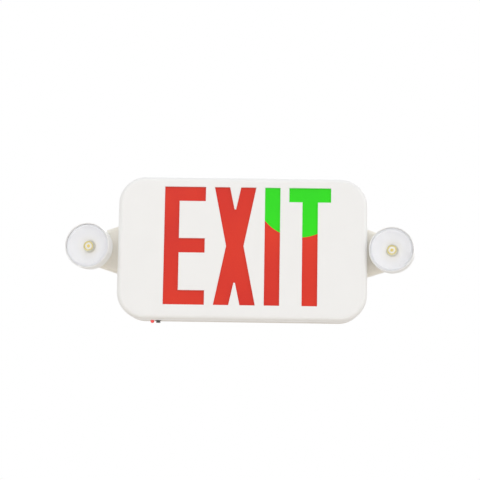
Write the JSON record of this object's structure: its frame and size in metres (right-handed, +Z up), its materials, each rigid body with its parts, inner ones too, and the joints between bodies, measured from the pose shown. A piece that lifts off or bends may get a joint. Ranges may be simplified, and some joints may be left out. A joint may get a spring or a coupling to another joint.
{
  "type": "emergency exit light",
  "caption": "Wall-fixed emergency exit light: white rounded housing with a red and green legend, flared side horns and swivelling round lamp heads.",
  "frame": {"origin": "middle of the housing's back face, on the wall", "axes": "+X to the right along the housing as seen by the reader, +Y into the wall, +Z up"},
  "size_m": [0.4481, 0.0627, 0.1864],
  "materials": {
    "white_moulding": "fine satin moulded ABS, white",
    "red_panel": "translucent red panel",
    "green_panel": "translucent green panel",
    "opal_sheet": "opal diffusing sheet",
    "reflector_white": "gloss white formed sheet",
    "bowl_white": "bright reflector bowl",
    "steel": "zinc-plated steel",
    "zinc_strap": "zinc-plated strip",
    "core_steel": "varnished laminations",
    "coil_tape": "winding under yellow tape",
    "capacitor_sleeve": "shrink sleeve over an aluminium can",
    "terminal_plastic": "green terminal plastic",
    "board_green": "solder-masked board",
    "board_white": "white solder mask",
    "red_diode": "diode package",
    "green_diode": "diode package",
    "black_plastic": "black moulded plastic",
    "white_knob": "white moulded plastic",
    "battery_wrap": "shrink-wrapped cells",
    "red_lens": "red tinted diode",
    "clear_lens": "clear polycarbonate lens",
    "clear_optic": "clear acrylic optic",
    "lamp_phosphor": "yellow phosphor"
  },
  "bodies": {
    "housing": {"back_housing": "white_moulding", "front_cover": "white_moulding", "legend_panel_red": "red_panel", "legend_panel_green": "green_panel", "diffuser_sheet": "opal_sheet", "reflector_tray": "reflector_white", "reflector_screws": "steel", "led_strip_top": "board_white", "led_strip_bottom": "board_white", "red_leds": "red_diode", "green_leds": "green_diode", "main_board": "board_green", "board_screws": "steel", "transformer_core": "core_steel", "transformer_coil": "coil_tape", "capacitors": "capacitor_sleeve", "terminal_block": "terminal_plastic", "selector_switch": "black_plastic", "battery_pack": "battery_wrap", "battery_strap": "zinc_strap", "strap_screws": "steel", "button_bush": "black_plastic", "test_switch": "black_plastic", "status_led": "red_lens", "status_led_holder": "black_plastic", "left_horn": "white_moulding", "left_horn_cap": "white_moulding", "left_horn_screws": "steel", "right_horn": "white_moulding", "right_horn_cap": "white_moulding", "right_horn_screws": "steel"},
    "left_swivel_unit": {"left_swivel": "white_moulding", "left_swivel_clip": "steel", "left_tilt_pin": "steel"},
    "left_head": {"left_lamp_shell": "white_moulding", "left_lens_bezel": "white_moulding", "left_lens": "clear_lens", "left_reflector": "bowl_white", "left_lamp_board": "board_white", "left_lamp_led": "lamp_phosphor", "left_optic": "clear_optic"},
    "right_swivel_unit": {"right_swivel": "white_moulding", "right_swivel_clip": "steel", "right_tilt_pin": "steel"},
    "right_head": {"right_lamp_shell": "white_moulding", "right_lens_bezel": "white_moulding", "right_lens": "clear_lens", "right_reflector": "bowl_white", "right_lamp_board": "board_white", "right_lamp_led": "lamp_phosphor", "right_optic": "clear_optic"},
    "test_button_body": {"test_button": "black_plastic"},
    "selector_slider_body": {"selector_slider": "white_knob"}
  },
  "joints": [
    {"name": "left_swivel", "type": "hinge", "parent": "housing", "child": "left_swivel_unit", "pos_m": [-0.194, -0.019, 0], "axis": [0, -1, 0], "range_deg": [-90, 90]},
    {"name": "left_tilt", "type": "hinge", "parent": "left_swivel_unit", "child": "left_head", "pos_m": [-0.194, -0.0315, 0], "axis": [0, 0, 1], "range_deg": [-20.5, 21.5]},
    {"name": "right_swivel", "type": "hinge", "parent": "housing", "child": "right_swivel_unit", "pos_m": [0.194, -0.019, 0], "axis": [0, -1, 0], "range_deg": [-90, 90]},
    {"name": "right_tilt", "type": "hinge", "parent": "right_swivel_unit", "child": "right_head", "pos_m": [0.194, -0.0315, 0], "axis": [0, 0, 1], "range_deg": [-2.5, 39.5]},
    {"name": "test_button_press", "type": "slide", "parent": "housing", "child": "test_button_body", "axis": [0, 0, 1], "range_m": [0, 0.0012], "stiffness_N_per_m": 400, "springref_m": -0.0008},
    {"name": "selector_slide", "type": "slide", "parent": "housing", "child": "selector_slider_body", "axis": [1, 0, 0], "range_m": [0, 0.0025]}
  ]
}
